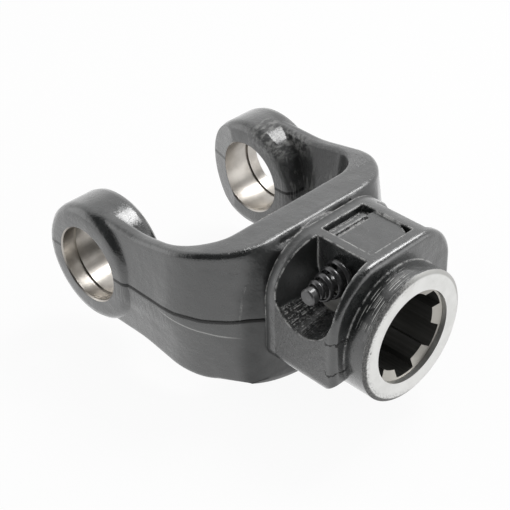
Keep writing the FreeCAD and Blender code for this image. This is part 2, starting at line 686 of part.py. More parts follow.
turned(pin, "PinTurned", pin_profile, "Y_Axis")

# Spring: a conical coil between the neck behind the push tip and the push wall
spring_small = value_of("coil_radius")
spring_large = value_of("spring_large / 2")
spring_start = value_of("coil_start")
spring_end = value_of("coil_end")
turns = value_of("spring_turns")
chords = int(value_of("turn_chords"))
path = []
for k in range(round(turns * chords) + 1):
    share = k / (turns * chords)
    angle = 2 * math.pi * k / chords
    radius = spring_small + share * (spring_large - spring_small)
    along = -spring_start + share * (spring_start - spring_end)
    path.append(V(radius * math.cos(angle), along, radius * math.sin(angle)))
heading = path[1] - path[0]
section = Part.Wire([Part.Circle(path[0], heading, value_of("wire_diameter / 2")).toShape()])
coil = Part.makePolygon(path).makePipeShell([section], True, False, 1)
spring = doc.addObject("Part::Feature", "Spring")
spring.Label = "pin_spring"
spring.Shape = coil
spring.Placement = FreeCAD.Placement(
    V(value_of("pin_place"), 0, value_of("pin_height")), FreeCAD.Rotation()
).multiply(spring.Placement)

doc.removeObject("Scratch")
doc.recompute()

# Nothing is written unless every object and every solid is sound
for thing in doc.Objects:
    if "Invalid" in thing.State or "Error" in thing.State:
        raise RuntimeError(thing.Name + " did not build: " + str(thing.State))

os.makedirs("parts", exist_ok=True)
for node in (yoke, pin, spring):
    shape = node.Shape
    if shape.isNull() or not shape.isValid() or len(shape.Solids) != 1:
        raise RuntimeError(node.Label + " is not one valid solid")
    shape.exportStep("parts/" + node.Label + ".step")
    box = shape.BoundBox
    corners = (box.XMin, box.XMax, box.YMin, box.YMax, box.ZMin, box.ZMax)
    print(node.Label, round(shape.Volume), [round(corner, 2) for corner in corners])
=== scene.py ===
import math

import bmesh
import bpy
from bpy.props import FloatProperty, FloatVectorProperty, IntProperty, PointerProperty
from mathutils import Matrix, Vector


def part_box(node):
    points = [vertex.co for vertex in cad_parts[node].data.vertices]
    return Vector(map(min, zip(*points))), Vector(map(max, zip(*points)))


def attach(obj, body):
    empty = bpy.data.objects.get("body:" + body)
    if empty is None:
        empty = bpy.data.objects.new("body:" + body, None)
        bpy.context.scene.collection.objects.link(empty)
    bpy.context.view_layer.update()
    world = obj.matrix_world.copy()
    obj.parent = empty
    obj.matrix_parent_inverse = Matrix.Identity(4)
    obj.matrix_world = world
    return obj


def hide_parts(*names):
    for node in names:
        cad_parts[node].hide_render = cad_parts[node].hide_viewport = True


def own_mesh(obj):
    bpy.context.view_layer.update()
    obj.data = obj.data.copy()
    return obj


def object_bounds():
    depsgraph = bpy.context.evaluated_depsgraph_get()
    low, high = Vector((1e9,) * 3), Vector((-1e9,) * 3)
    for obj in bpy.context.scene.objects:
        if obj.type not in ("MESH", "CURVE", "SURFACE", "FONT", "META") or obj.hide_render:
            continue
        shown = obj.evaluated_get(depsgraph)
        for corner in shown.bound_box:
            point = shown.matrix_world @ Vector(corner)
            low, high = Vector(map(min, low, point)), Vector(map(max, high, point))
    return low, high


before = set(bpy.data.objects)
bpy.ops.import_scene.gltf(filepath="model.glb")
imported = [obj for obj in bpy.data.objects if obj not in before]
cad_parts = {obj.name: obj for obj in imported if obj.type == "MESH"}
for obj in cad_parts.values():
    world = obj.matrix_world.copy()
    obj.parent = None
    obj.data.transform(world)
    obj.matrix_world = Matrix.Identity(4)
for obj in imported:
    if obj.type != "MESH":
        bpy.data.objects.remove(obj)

bl_info = {
    "name": "Forged Driveline Yoke",
    "version": (1, 0, 0),
    "blender": (4, 5, 0),
    "location": "View3D > Sidebar > Yoke",
    "description": "A forged fork yoke with a splined hub and a spring-loaded locking pin",
    "category": "Add Mesh",
}

CAD_BOX = [list(corner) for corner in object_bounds()]
PIN_LOW, PIN_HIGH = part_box("lock_pin")
PIN_AXIS = (PIN_LOW + PIN_HIGH) / 2
SPRING_LOW, SPRING_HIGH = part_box("pin_spring")

# Zones of the forging's skin. Along each axis, in metres, a zone fades in from the first place of a
# pair to the second; a pair that runs backwards is the far border.
ZONES = {
    "fork": {"x": ((0.0738, 0.0728),)},
    "fork blends": {"x": ((0.0748, 0.0738),)},
    "scratched web": {"x": ((0.038, 0.044), (0.069, 0.063)), "y": ((-0.030, -0.034),)},
    "cracked cheek": {"x": ((0.1015, 0.1030), (0.1075, 0.1070)), "y": ((-0.0185, -0.0205),)},
    "tooled hub": {"x": ((0.1078, 0.1092),), "y": ((0.004, -0.003),), "z": ((0.010, 0.018),)},
    "trimmed flank": {"x": ((0.056, 0.030), (0.008, 0.016)), "z": ((-0.010, -0.004), (0.0010, 0.0002))},
    "arm inside": {"x": ((-0.002, 0.006), (0.060, 0.048)), "y": ((0.030, 0.034), (0.0455, 0.0425))},
    # Where a painted sheen lies on the upper part of the arm's inner face
    "fresh skin": {"x": ((0.030, 0.018),), "z": ((0.013, 0.018),)},
    "drawn skin": {"x": ((0.014, 0.019),), "z": ((0.016, 0.011), (-0.006, 0.003))},
    "pocket": {"x": ((0.078, 0.082), (0.105, 0.101)), "y": ((-0.0095, -0.012),), "z": ((0.0115, 0.009),)},
    "pocket lip": {"x": ((0.096, 0.086),), "y": ((-0.0165, -0.0205),)},
    "pocket wall": {
        "x": ((0.0770, 0.0774), (0.0830, 0.0800)), "y": ((-0.0105, -0.0125), (-0.0298, -0.0285)),
        "z": ((0.010, 0.013),)},
    "neck": {"x": ((0.0655, 0.0705), (0.0765, 0.0745))},
}
BOSS_BORDER = (0.0185, 0.0205)
NECK_BORDER = (0.026, 0.028)
# Rubbed edges with a painted highlight: where they grow along X, and the height above which the painted
# highlight keeps to the upper edges
RUBBED_AND_LIT_BACK, LIT_SIDE_LOW = (0.030, 0.062), (-0.006, 0.006)
FLASH_START, FLASH_BORDER, FLASH_WANDER = (0.004, 0.026), (0.0010, 0.0003), 0.0012
SCRATCH_START, SCRATCH_SLOPE, SCRATCH_BORDER = Vector((0.0428, 0, -0.0013)), 0.183, (0.00045, 0.0001)
CRACK_HEIGHTS, CRACK_BORDER, CRACK_WANDER = (0.0078, -0.0050), (0.0005, 0.0001), 0.009

# Marks and borders of the nose, by the distance from the spline axis
OVERSPRAY_BORDER = (0.0215, 0.0243)
CHAMFER_BORDER = (0.0236, 0.0243)
LEAD_IN_BORDER = (0.1139, 0.1135)
PUSH_SIDE_BORDER = (0.006, -0.012)

# Colours of wear and marks; the rubbed paint and the light marks also serve as painted highlights, glints
# and sheen
WHITE = (1, 1, 1, 1)
BLACK = (0, 0, 0, 1)
THIN_PAINT = (0.028, 0.030, 0.030, 1)
# Rubbed paint, which also serves as a painted highlight on the edges
RUBBED_PAINT_AND_HIGHLIGHT = (0.78, 0.78, 0.76, 1)
DARK_GAP = (0.004, 0.004, 0.004, 1)
# Light marks, also used for painted glints and a painted sheen
LIGHT_MARK_AND_SHEEN = (0.62, 0.62, 0.60, 1)
DUST = (0.16, 0.16, 0.155, 1)
BORE_CLOUD = (0.34, 0.315, 0.285, 1)
NOSE_CLOUD = (0.66, 0.66, 0.64, 1)
NOSE_CHAMFER = (0.36, 0.355, 0.34, 1)
LEAD_IN = (0.46, 0.445, 0.41, 1)
OVERSPRAY = (0.06, 0.06, 0.06, 1)
BROACH_MARKS = (0.17, 0.168, 0.16, 1)
WORN_PIN = (0.24, 0.24, 0.24, 1)
DRAWN_WIRE = (0.17, 0.17, 0.17, 1)

# Which faces of the forging are machined: places along X, radii and distances from the middle
NOSE_BACK = 0.11465
COUNTERBORE_BACK, COUNTERBORE_RADIUS = 0.1112, 0.0184
SPLINE_BACK, SPLINE_RADIUS = 0.045, 0.0179
BORE_START, BORE_RADIUS = 0.031, 0.0168
BORE_INNER_END, BORE_OUTER_END = 0.033, 0.051

# Meshes: sides that have a fairing, welding distances and shading
FAIRING_SIDES = ((0, 0, -1), (0, -1, 0), (0, 1, 0))
SKIN_WELD, FAIRING_WELD, PIN_WELD = 2e-6, 1e-4, 1e-7
PIN_SMOOTH, WIRE_SMOOTH = math.radians(30), math.radians(40)
WIRE_SEGMENTS = 18

# Stage: sizes in metres, lamp power in watts
PICTURE_SIDE = 510
FLOOR_GAP, FLOOR_REACH, FLOOR_GLOW = 0.0005, 3.0, 0.93
DARK_SIDE_BORDER = (0.10, 0.50)
LAMP_TARGET = Vector((0.045, 0, 0))
LAMPS = (
    ("Top softbox", Vector((0.08, 0.45, 0.70)), 0.34, 3.0),
    ("Left softbox", Vector((-0.60, -0.60, 0.25)), 0.90, 1.2),
    ("Right softbox", Vector((0.75, 0.45, 0.25)), 0.60, 1.2),
)


# Sizes and colours

class ForgingSettings(bpy.types.PropertyGroup):
    """Finishes of the forging and its machined faces."""
    paint: FloatVectorProperty(
        name="Paint", description="Colour of the satin paint", subtype="COLOR", size=3,
        min=0, max=1, default=(0.014, 0.0155, 0.0155))
    paint_roughness: FloatProperty(
        name="Paint roughness", description="Roughness of the paint on smooth metal",
        subtype="FACTOR", min=0, max=1, default=0.27)
    edge_round: FloatProperty(
        name="Edge rounding", description="How far the paint rounds the forging's edges",
        subtype="DISTANCE", min=0, max=0.003, default=0.0014)
    blend_round: FloatProperty(
        name="Blend rounding", description="How far the paint softens the blends of the fork",
        subtype="DISTANCE", min=0, max=0.006, default=0.0032)
    flash_height: FloatProperty(
        name="Flash line", description="Height of the trimmed flash line above the spline axis",
        subtype="DISTANCE", default=0.0013)
    bore: FloatVectorProperty(
        name="Bored steel", description="Colour of the machined trunnion bores",
        subtype="COLOR", size=3, min=0, max=1, default=(0.50, 0.475, 0.44))
    nose: FloatVectorProperty(
        name="Faced steel", description="Colour of the machined nose face", subtype="COLOR", size=3,
        min=0, max=1, default=(0.80, 0.80, 0.785))
    broached: FloatVectorProperty(
        name="Broached steel", description="Colour inside the splined bore", subtype="COLOR", size=3,
        min=0, max=1, default=(0.12, 0.12, 0.113))
    fairing_clear: FloatProperty(
        name="Fairing clearance", description="How far the web's fairings stay off the spline axis",
        subtype="DISTANCE", min=0.018, max=0.026, default=0.0182)
    fairing_share: FloatProperty(
        name="Fairing share", description="Scale that keeps a fairing just under the faces that it shares",
        subtype="FACTOR", min=0.9, max=1, default=0.9935)
    fairing_back: FloatProperty(
        name="Fairing back", description="Where the fairings start along the spline axis",
        subtype="DISTANCE", default=0.0580)
    fairing_front: FloatProperty(
        name="Fairing front", description="Where they end along the spline axis",
        subtype="DISTANCE", default=0.0730)
    smooth_angle: FloatProperty(
        name="Smooth angle", description="Edges flatter than this are shaded smooth",
        subtype="ANGLE", min=0, max=math.pi, default=math.radians(32))


class PinSettings(bpy.types.PropertyGroup):
    """Sizes and finish of the lock pin."""
    shank: FloatProperty(
        name="Shank radius", description="Radius of the shank and the push tip",
        subtype="DISTANCE", min=0.001, default=0.00315)
    neck: FloatProperty(
        name="Neck radius", description="Radius of the neck under the spring's small end",
        subtype="DISTANCE", min=0.001, default=0.0027)
    neck_start: FloatProperty(
        name="Neck start", description="Length of the push tip ahead of the neck",
        subtype="DISTANCE", min=0.0, default=0.0027)
    neck_end: FloatProperty(
        name="Neck end", description="Where the neck ends, from the tip",
        subtype="DISTANCE", min=0.0, default=0.00622)
    shoulder: FloatProperty(
        name="Shoulder", description="Where the locking body starts, from the tip",
        subtype="DISTANCE", min=0.0, default=0.02765)
    rim: FloatProperty(
        name="Rim chamfer", description="Chamfer at both ends of the pin",
        subtype="DISTANCE", min=0.0, default=0.0005)
    steps: IntProperty(
        name="Steps", description="Steps round the pin", min=12, max=256, default=72)
    steel: FloatVectorProperty(
        name="Pin steel", description="Colour of the turned and blackened pin", subtype="COLOR", size=3,
        min=0, max=1, default=(0.115, 0.115, 0.116))


class SpringSettings(bpy.types.PropertyGroup):
    """Sizes and finish of the conical spring."""
    wire: FloatProperty(
        name="Wire radius", description="Radius of the spring wire",
        subtype="DISTANCE", min=0.0001, default=0.0006)
    flat: FloatProperty(
        name="Flatness", description="How many times wider than thick the wire is",
        min=1, max=4, default=1.7)
    small: FloatProperty(
        name="Small end", description="Mean radius at the small end",
        subtype="DISTANCE", min=0.001, default=0.00347)
    large: FloatProperty(
        name="Large end", description="Mean radius at the large end",
        subtype="DISTANCE", min=0.001, default=0.0066)
    turns: FloatProperty(
        name="Turns", description="Number of turns", min=1, max=20, default=3.75)
    steps: IntProperty(
        name="Steps", description="Steps in each turn", min=12, max=128, default=48)
    kept: FloatProperty(
        name="Length kept", description="Share of its length that is left when the pin is pushed in",
        subtype="FACTOR", min=0.1, max=1, default=0.36)
    steel: FloatVectorProperty(
        name="Wire", description="Colour of the oiled spring wire", subtype="COLOR", size=3,
        min=0, max=1, default=(0.085, 0.085, 0.087))


class StageSettings(bpy.types.PropertyGroup):
    """Camera, floor and light."""
    azimuth: FloatProperty(
        name="Azimuth", description="Camera direction round the vertical", subtype="ANGLE",
        default=math.radians(46.902))
    elevation: FloatProperty(
        name="Elevation", description="Camera height above the horizon", subtype="ANGLE",
        default=math.radians(35.698))
    roll: FloatProperty(
        name="Roll", description="Camera roll", subtype="ANGLE", default=math.radians(-1.889))
    distance: FloatProperty(
        name="Distance", description="Distance of the camera",
        subtype="DISTANCE", min=0.1, default=0.541514)
    aside: FloatProperty(
        name="Aside", description="How far the camera stands to the side",
        subtype="DISTANCE", default=0.025916)
    above: FloatProperty(
        name="Above", description="How far the camera stands above",
        subtype="DISTANCE", default=-0.018244)
    focal: FloatProperty(
        name="Focal length", description="Focal length in pixels of a 510 pixel picture",
        min=100, default=1368.65)
    floor: FloatVectorProperty(
        name="Floor", description="Colour of the floor", subtype="COLOR", size=3,
        min=0, max=1, default=(0.86, 0.86, 0.86))
    sky: FloatProperty(
        name="Sky", description="Brightness of the room on the object", min=0, max=1, default=0.55)
    dark_side: FloatProperty(
        name="Dark side", description="How dark the room is behind the camera in the object's reflections",
        subtype="FACTOR", min=0, max=1, default=0.97)
    lamps: FloatProperty(
        name="Lamps", description="Strength of all lamps together", min=0, max=10, default=1.0)


# Shader writing

class Value:
    """A socket that takes part in Python expressions."""

    def __init__(self, finish, socket):
        self.finish = finish
        self.socket = socket

    def math(self, operation, *others):
        values = {0: self}
        for index, other in enumerate(others, start=1):
            values[index] = other
        return self.finish.node("ShaderNodeMath", {"operation": operation}, values)

    def __add__(self, other):
        return self.math("ADD", other)

    def __mul__(self, other):
        return self.math("MULTIPLY", other)

    def __sub__(self, other):
        return self.math("SUBTRACT", other)

    def __rsub__(self, other):
        return self.finish.node("ShaderNodeMath", {"operation": "SUBTRACT"}, {0: other, 1: self})

    __radd__ = __add__

    def root(self):
        return self.math("SQRT")

    def size(self):
        return self.math("ABSOLUTE")

    def rise(self, low, high):
        """0 below low, 1 above high and smooth between them; falls where low is above high."""
        first, last, start, end = (low, high, 0.0, 1.0) if low < high else (high, low, 1.0, 0.0)
        inputs = {"Value": self, "From Min": first, "From Max": last, "To Min": start, "To Max": end}
        return self.finish.node("ShaderNodeMapRange", {"interpolation_type": "SMOOTHSTEP"}, inputs)

    def least(self, floor):
        """The same mask, with this floor in place of 0."""
        return self * (1 - floor) + floor


class Finish:
    """A material, or a world, whose nodes are written as expressions."""

    def __init__(self, name, world=None):
        self.material = world or bpy.data.materials.new(name)
        self.material.use_nodes = True
        self.tree = self.material.node_tree
        self.tree.nodes.clear()
        self.place = self.raw("ShaderNodeTexCoord").outputs["Object"]

    def raw(self, kind, settings=None, inputs=None):
        """A node with its settings and then its inputs, which are values or links."""
        node = self.tree.nodes.new(kind)
        for name, setting in (settings or {}).items():
            setattr(node, name, setting)
        for name, given in (inputs or {}).items():
            if isinstance(given, Value):
                given = given.socket
            if isinstance(given, bpy.types.NodeSocket):
                self.tree.links.new(given, node.inputs[name])
            else:
                node.inputs[name].default_value = given
        return node

    def node(self, kind, settings=None, inputs=None, output=0):
        """The same, as a value for an expression."""
        return Value(self, self.raw(kind, settings, inputs).outputs[output])

    def axes(self):
        """The three Object coordinates as values."""
        split = self.raw("ShaderNodeSeparateXYZ", None, {0: self.place})
        return [Value(self, socket) for socket in split.outputs]

    def inside(self, zone):
        """1 in a named zone of the forging and 0 outside, with soft borders."""
        fades = [
            value.rise(*pair)
            for axis, value in zip("xyz", self.axes()) for pair in ZONES[zone].get(axis, ())]
        mask = fades[0]
        for fade in fades[1:]:
            mask = mask * fade
        return mask

    def grain(self, scale, detail=3.0, stretch=(1, 1, 1), roughness=0.55):
        """Noise of a size, stretched along an axis where wanted; 0.5 is its middle."""
        place = self.raw("ShaderNodeMapping", None, {"Vector": self.place, "Scale": stretch}).outputs[0]
        inputs = {"Vector": place, "Scale": scale, "Detail": detail, "Roughness": roughness}
        return self.node("ShaderNodeTexNoise", {"noise_dimensions": "3D"}, inputs)

    def lines(self, across, scale, detail):
        """Noise along one value only, which draws lines where that value is the same."""
        inputs = {"W": across, "Scale": scale, "Detail": detail}
        return self.node("ShaderNodeTexNoise", {"noise_dimensions": "1D"}, inputs)

    def rays(self):
        """Masks of mirrored rays, and of all rays that see a surface and don't only light it."""
        light = self.raw("ShaderNodeLightPath").outputs
        mirrored = Value(self, light["Is Glossy Ray"])
        seen = mirrored.math("MAXIMUM", light["Is Camera Ray"])
        return mirrored, seen.math("MAXIMUM", light["Is Transmission Ray"])

    def mixed(self, mask, first, second):
        """The second colour where the mask is 1."""
        settings = {"data_type": "RGBA", "clamp_factor": True}
        return self.raw("ShaderNodeMix", settings, {0: mask, 6: first, 7: second}).outputs[2]

    def bump(self, height, distance, strength=1.0, normal=None):
        """A bump of a real height in metres, over another normal where given."""
        inputs = {"Height": height, "Distance": distance, "Strength": strength}
        if normal:
            inputs["Normal"] = normal
        return self.raw("ShaderNodeBump", None, inputs).outputs[0]

    def layered(self, mask, first, second):
        """The second shader where the mask is 1."""
        inputs = {0: mask, 1: first.outputs[0], 2: second.outputs[0]}
        return self.raw("ShaderNodeMixShader", None, inputs)

    def close(self, inputs):
        """End in a Principled surface with these inputs, and give the material."""
        shader = self.raw("ShaderNodeBsdfPrincipled", None, inputs)
        self.raw("ShaderNodeOutputMaterial", None, {"Surface": shader.outputs[0]})
        return self.material


def solid(colour):
    """A setting's colour with full opacity."""
    return (*colour, 1.0)


# Materials

def rounded_normals(f, settings):
    """Normals that round every edge, and normals that soften the fork's blends as well."""
    x, _, z = f.axes()
    edges = f.raw("ShaderNodeBevel", {"samples": 6}, {"Radius": settings.edge_round}).outputs[0]
    wide = f.raw("ShaderNodeBevel", {"samples": 8}, {"Radius": settings.blend_round}).outputs[0]
    blends = f.inside("fork blends") * (x * x + z * z).root().rise(*BOSS_BORDER)
    soft = f.raw("ShaderNodeMix", {"data_type": "VECTOR"}, {0: blends, 4: edges, 5: wide}).outputs[1]
    return edges, soft


def rubbed_and_highlit_edges(f, edges, true):
    """Edges whose paint is rubbed away and which carry a painted highlight, most on the upper edges towards
    the collar, where the rounded normal leaves the true one.
    """
    x, _, z = f.axes()
    facing = f.node("ShaderNodeVectorMath", {"operation": "DOT_PRODUCT"}, {0: edges, 1: true}, output=1)
    # Painted highlight: the edges are lighter on the upper side and towards the collar
    handled_and_lit = x.rise(*RUBBED_AND_LIT_BACK).least(0.15) * z.rise(*LIT_SIDE_LOW).least(0.15)
    return (1 - facing).rise(0.05, 0.20) * f.grain(420, 4).rise(0.38, 0.56) * handled_and_lit


def line_marks(f, settings):
    """The trimmed flash line round the fork, the scratch below it and the cracks in the collar's cheek."""
    x, _, z = f.axes()
    wobble = (f.grain(70, 2) - 0.5) * FLASH_WANDER
    off_line = (z - wobble - settings.flash_height).size()
    flash = off_line.rise(*FLASH_BORDER) * f.inside("fork") * x.rise(*FLASH_START).least(0.45)
    fall = (x - SCRATCH_START.x) * SCRATCH_SLOPE
    scratch = (z - SCRATCH_START.z + fall - wobble * 0.5).size().rise(*SCRATCH_BORDER)
    ragged = (f.grain(260, 4) - 0.5) * CRACK_WANDER
    upper, lower = [(z - height - ragged).size().rise(*CRACK_BORDER) for height in CRACK_HEIGHTS]
    return flash, scratch * f.inside("scratched web"), (upper + lower) * f.inside("cracked cheek")


def tool_marks(f):
    """Turned streaks with overspray on the hub, and upright trim marks below the flash line."""
    x, _, _ = f.axes()
    tooled = f.lines(x, 2600, 3).rise(0.50, 0.62) * f.grain(240, 3).rise(0.40, 0.55) * f.inside("tooled hub")
    trim = f.grain(620, 3, stretch=(1, 1, 0.05)) * f.inside("trimmed flank")
    return tooled, trim


def pocket_glints(f, pocket, true):
    """Fine glints that fan out from the pin over the pocket's upward faces."""
    x, _, z = f.axes()
    upward = f.node("ShaderNodeSeparateXYZ", None, {0: true}, output=2).rise(0.2, 0.5)
    around = (x - PIN_AXIS.x).math("ARCTAN2", z - PIN_AXIS.z)
    fan = f.lines(around, 26, 4).rise(0.46, 0.58)
    return f.grain(900, 5, roughness=0.7).rise(0.46, 0.60) * fan * pocket * upward * f.inside("pocket lip")


def sheen_and_skin_marks(f, arm_inside):
    """A painted sheen in patches, and drawn streaks, inside the arms."""
    sheen_patches = f.grain(560, 5, stretch=(1, 0.35, 1), roughness=0.65).rise(0.44, 0.60)
    streaks = f.grain(560, 3, stretch=(1, 1, 0.08)).rise(0.50, 0.64)
    return sheen_patches * arm_inside * f.inside("fresh skin"), streaks * arm_inside * f.inside("drawn skin")


def forged_paint(settings):
    """Satin paint over a forged skin, with its flash line, trim marks and rubbed edges, and painted
    highlights, glints and sheen.
    """
    f = Finish("Satin paint")
    _, y, z = f.axes()
    skin = f.grain(170, 5, roughness=0.6)
    rolls = f.grain(48, 2)
    peel = f.grain(1300, 2)
    dust = f.grain(2600, 2).rise(0.66, 0.78)
    true = f.raw("ShaderNodeNewGeometry").outputs["Normal"]
    edges, soft = rounded_normals(f, settings)
    edge = rubbed_and_highlit_edges(f, edges, true)
    flash, scratch, cracks = line_marks(f, settings)
    tooled, trim = tool_marks(f)
    arm_inside = f.inside("arm inside")
    pocket = f.inside("pocket")
    rough_skin = f.grain(620, 6, stretch=(1, 1, 0.5), roughness=0.7) * (arm_inside + pocket)
    painted_sheen, drawn = sheen_and_skin_marks(f, arm_inside)
    light = scratch * 0.5 + tooled * 0.9 + pocket_glints(f, pocket, true) + painted_sheen * 0.4 + drawn * 0.3
    shaded = f.inside("neck") * (y * y + z * z).root().rise(*NECK_BORDER) + f.inside("pocket wall")

    colour = f.mixed(f.grain(45, 3).rise(0.35, 0.70) * 0.5, solid(settings.paint), THIN_PAINT)
    # Rubbed paint on the edges, partly a painted highlight on the upper edges
    colour = f.mixed(edge * 0.9, colour, RUBBED_PAINT_AND_HIGHLIGHT)
    colour = f.mixed(flash * 0.9 + cracks, colour, DARK_GAP)
    # Light scratches and tool marks, with painted glints in the pocket and a painted sheen inside the arms
    colour = f.mixed(light, colour, LIGHT_MARK_AND_SHEEN)
    colour = f.mixed(dust * 0.2, colour, DUST)

    roughness = settings.paint_roughness + (skin - 0.5) * 0.22 + edge * 0.08 + (flash + cracks) * 0.45
    roughness = roughness + shaded * 0.22 + arm_inside * 0.12

    normal = f.bump(rolls, 0.0040, 0.35, soft)
    normal = f.bump(skin, 0.0012, 0.45, normal)
    normal = f.bump(peel, 0.00014, 0.4, normal)
    normal = f.bump(trim, 0.0010, 1.0, normal)
    normal = f.bump(rough_skin, 0.0016, 1.0, normal)
    normal = f.bump(flash - cracks * 0.6, 0.0009, 1.0, normal)
    return f.close({
        "Base Color": colour, "Roughness": roughness, "Normal": normal, "Specular IOR Level": 0.9,
        "Coat Weight": 0.95 - (flash + cracks + shaded) * 0.9, "Coat Roughness": 0.16})


def bored_steel(settings):
    """Bright bored steel with fine tool marks round the trunnion axis."""
    f = Finish("Bored steel")
    marks = f.grain(60, 3, stretch=(1, 70, 1))
    cloud = f.grain(110, 4)
    colour = f.mixed(cloud.rise(0.35, 0.75), solid(settings.bore), BORE_CLOUD)
    return f.close({
        "Base Color": colour, "Metallic": 1.0, "Roughness": 0.26 + cloud * 0.16,
        "Normal": f.bump(marks, 0.00005, 0.5)})


def faced_steel(settings):
    """A faced and chamfered end with turning rings, a few pits and overspray at its edge."""
    f = Finish("Faced steel")
    x, y, z = f.axes()
    radius = (y * y + z * z).root()
    rings = f.lines(radius, 5200, 2)
    cells = f.node("ShaderNodeTexVoronoi", {"feature": "F1"}, {"Vector": f.place, "Scale": 150})
    pits = cells.rise(0.10, 0.04) * f.grain(90, 1).rise(0.58, 0.64)
    push_side = y.rise(*PUSH_SIDE_BORDER)
    speckle = f.grain(1900, 3).rise(0.46, 0.62) * radius.rise(*OVERSPRAY_BORDER) * push_side
    chamfer = radius.rise(*CHAMFER_BORDER)
    haze = f.grain(180, 4)
    colour = f.mixed(haze.rise(0.35, 0.75) * 0.5, solid(settings.nose), NOSE_CLOUD)
    colour = f.mixed(chamfer * 0.7, colour, NOSE_CHAMFER)
    colour = f.mixed(x.rise(*LEAD_IN_BORDER), colour, LEAD_IN)
    colour = f.mixed(speckle * 0.6 + pits * 0.7 + chamfer * push_side * 0.75, colour, OVERSPRAY)
    return f.close({
        "Base Color": colour, "Metallic": 0.92 - speckle * 0.7, "Roughness": 0.34 + haze * 0.14,
        "Normal": f.bump(rings + pits * -2.0, 0.00003, 0.5)})


def broached_steel(settings):
    """Dark broached grooves and crests with marks along the spline axis."""
    f = Finish("Broached steel")
    marks = f.grain(900, 3, stretch=(0.04, 1, 1))
    cloud = f.grain(130, 4)
    colour = f.mixed(marks.rise(0.35, 0.75), solid(settings.broached), BROACH_MARKS)
    return f.close({
        "Base Color": colour, "Metallic": 0.85, "Roughness": 0.34 + cloud * 0.2,
        "Normal": f.bump(marks, 0.00005, 0.4)})


def pin_steel(settings):
    """Turned and blackened steel, with rings round the pin and brighter worn spots."""
    f = Finish("Pin steel")
    rings = f.grain(90, 3, stretch=(1, 60, 1))
    worn = f.grain(420, 4).rise(0.50, 0.72)
    colour = f.mixed(worn * 0.5, solid(settings.steel), WORN_PIN)
    return f.close({
        "Base Color": colour, "Metallic": 0.55, "Roughness": 0.28 + worn * 0.16,
        "Normal": f.bump(rings + worn * 0.4, 0.00005, 0.5)})


def spring_steel(settings):
    """Oiled spring wire with fine drawing marks."""
    f = Finish("Spring wire")
    marks = f.grain(1400, 3)
    colour = f.mixed(marks.rise(0.5, 0.7) * 0.5, solid(settings.steel), DRAWN_WIRE)
    return f.close({
        "Base Color": colour, "Metallic": 0.7, "Roughness": 0.18 + marks * 0.12,
        "Normal": f.bump(marks, 0.00003, 0.5)})


# Mesh helpers

def new_piece(name, bm, materials, body, replaced):
    """Put a finished mesh in the scene as a piece that rides on a body."""
    mesh = bpy.data.meshes.new(name)
    bm.to_mesh(mesh)
    bm.free()
    for material in materials:
        mesh.materials.append(material)
    piece = bpy.data.objects.new(name, mesh)
    bpy.context.scene.collection.objects.link(piece)
    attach(piece, body)
    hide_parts(replaced)
    return piece


def shade(bm, angle):
    """Smooth faces, with sharp edges where the surface turns by more than the angle."""
    for face in bm.faces:
        face.smooth = True
    for edge in bm.edges:
        edge.smooth = edge.calc_face_angle(0.0) < angle


def even_normals(piece):
    """Let the large faces keep flat shading beside small ones."""
    weighted = piece.modifiers.new("Even normals", "WEIGHTED_NORMAL")
    weighted.keep_sharp = True
    weighted.weight = 80


PAINTED, BORED, FACED, BROACHED = range(4)


def machined_face(face):
    """Which finish a face of the forging has, by where it lies."""
    middle = face.calc_center_median()
    from_spline = math.hypot(middle.y, middle.z)
    from_trunnion = math.hypot(middle.x, middle.z)
    if middle.x > NOSE_BACK:
        return FACED
    if middle.x > COUNTERBORE_BACK and from_spline < COUNTERBORE_RADIUS:
        return FACED
    if middle.x > SPLINE_BACK and from_spline < SPLINE_RADIUS and abs(face.normal.x) < 0.9:
        return BROACHED
    outwards = abs(middle.y)
    ear_face = abs(face.normal.y) > 0.95 and not BORE_INNER_END < outwards < BORE_OUTER_END
    if outwards > BORE_START and from_trunnion < BORE_RADIUS and not ear_face:
        return BORED
    return PAINTED


def add_fairing(bm, settings, side):
    """Span the steps between web, belly and the neck's flare with a hull on one side of the bore."""
    part = bmesh.new()
    part.from_mesh(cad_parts["yoke_forging"].data)
    limits = (
        (side * settings.fairing_clear, -side),
        (Vector((settings.fairing_back, 0, 0)), Vector((-1, 0, 0))),
        (Vector((settings.fairing_front, 0, 0)), Vector((1, 0, 0))))
    for place, outwards in limits:
        whole = part.verts[:] + part.edges[:] + part.faces[:]
        bmesh.ops.bisect_plane(part, geom=whole, plane_co=place, plane_no=outwards, clear_outer=True)
    bmesh.ops.remove_doubles(part, verts=part.verts, dist=FAIRING_WELD)
    cut = set(part.faces)
    bmesh.ops.convex_hull(part, input=part.verts[:])
    bmesh.ops.delete(part, geom=[face for face in part.faces if face in cut], context="FACES")
    bmesh.ops.recalc_face_normals(part, faces=part.faces)
    caps = [face for face in part.faces if face.normal.x < -0.99 or face.normal.dot(side) < -0.99]
    bmesh.ops.delete(part, geom=caps, context="FACES")
    middle = sum((vert.co for vert in part.verts), Vector()) / len(part.verts)
    inside = (settings.fairing_share,) * 3
    bmesh.ops.scale(part, vec=inside, space=Matrix.Translation(-middle), verts=part.verts)
    hull = bpy.data.meshes.new("fairing")
    part.to_mesh(hull)
    part.free()
    bm.from_mesh(hull)
    bpy.data.meshes.remove(hull)


# Operators

